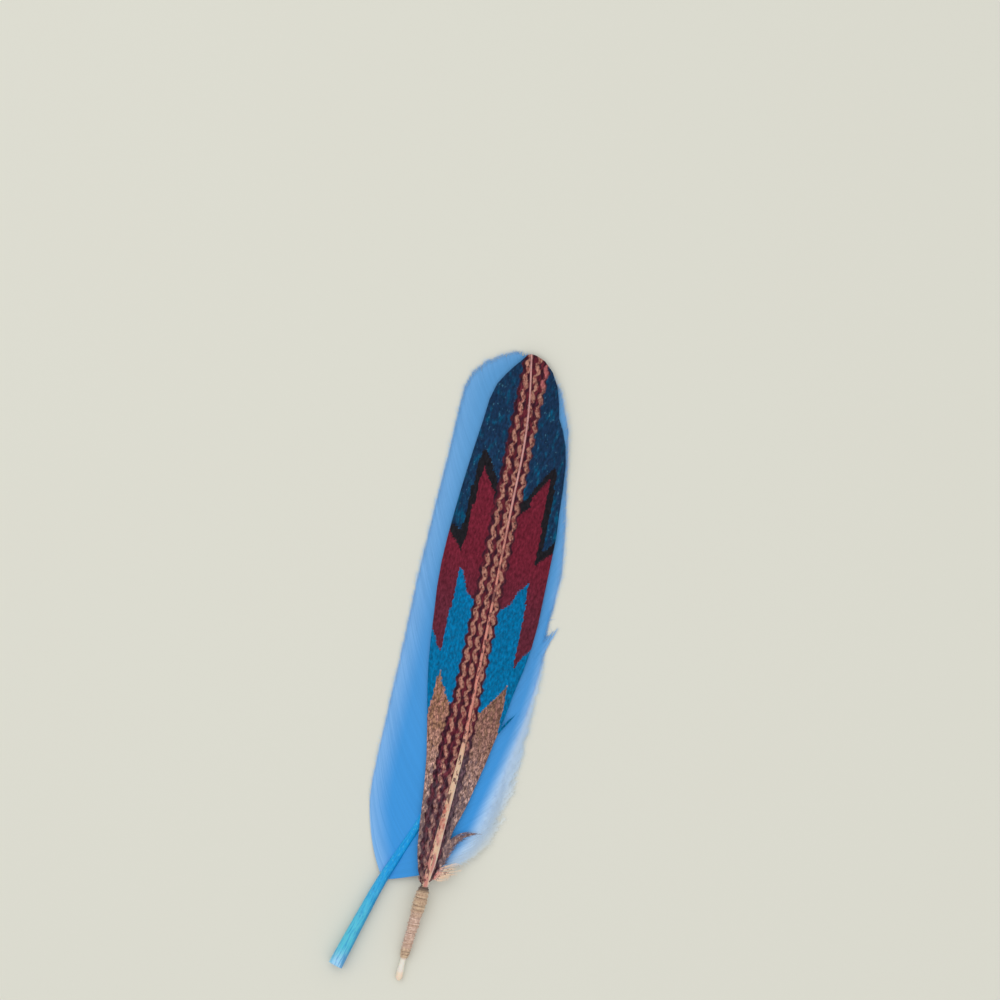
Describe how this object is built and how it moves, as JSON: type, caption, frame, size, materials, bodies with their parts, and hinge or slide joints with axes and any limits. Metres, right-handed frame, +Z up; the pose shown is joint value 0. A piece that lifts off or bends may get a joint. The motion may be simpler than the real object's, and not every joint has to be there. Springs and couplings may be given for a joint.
{
  "type": "hat feather",
  "caption": "Decorative hat feather lying flat: a printed trimmed feather over a blue dyed feather, with thread wound round the printed feather's quill.",
  "frame": {"origin": "centre of the bounding box, on the surface that the feather lies on", "axes": "+Y from the quills to the tips along the front feather's shaft, +Z up from the surface, +X to the side away from the blue quill"},
  "size_m": [0.0411, 0.1664, 0.0053],
  "materials": {
    "blue_vane": "soft matt feather barbs, dyed light blue",
    "blue_quill": "smooth horny shaft, dyed turquoise, satin",
    "printed_vane": "feather barbs printed with a woven blanket pattern in navy, black, maroon, blue and tan",
    "natural_quill": "smooth horny shaft, pale pink to cream, satin",
    "thread": "matt tan thread"
  },
  "bodies": {
    "root": {"back_feather": "blue_vane", "front_feather": "printed_vane", "thread_wrap": "thread"}
  },
  "joints": []
}
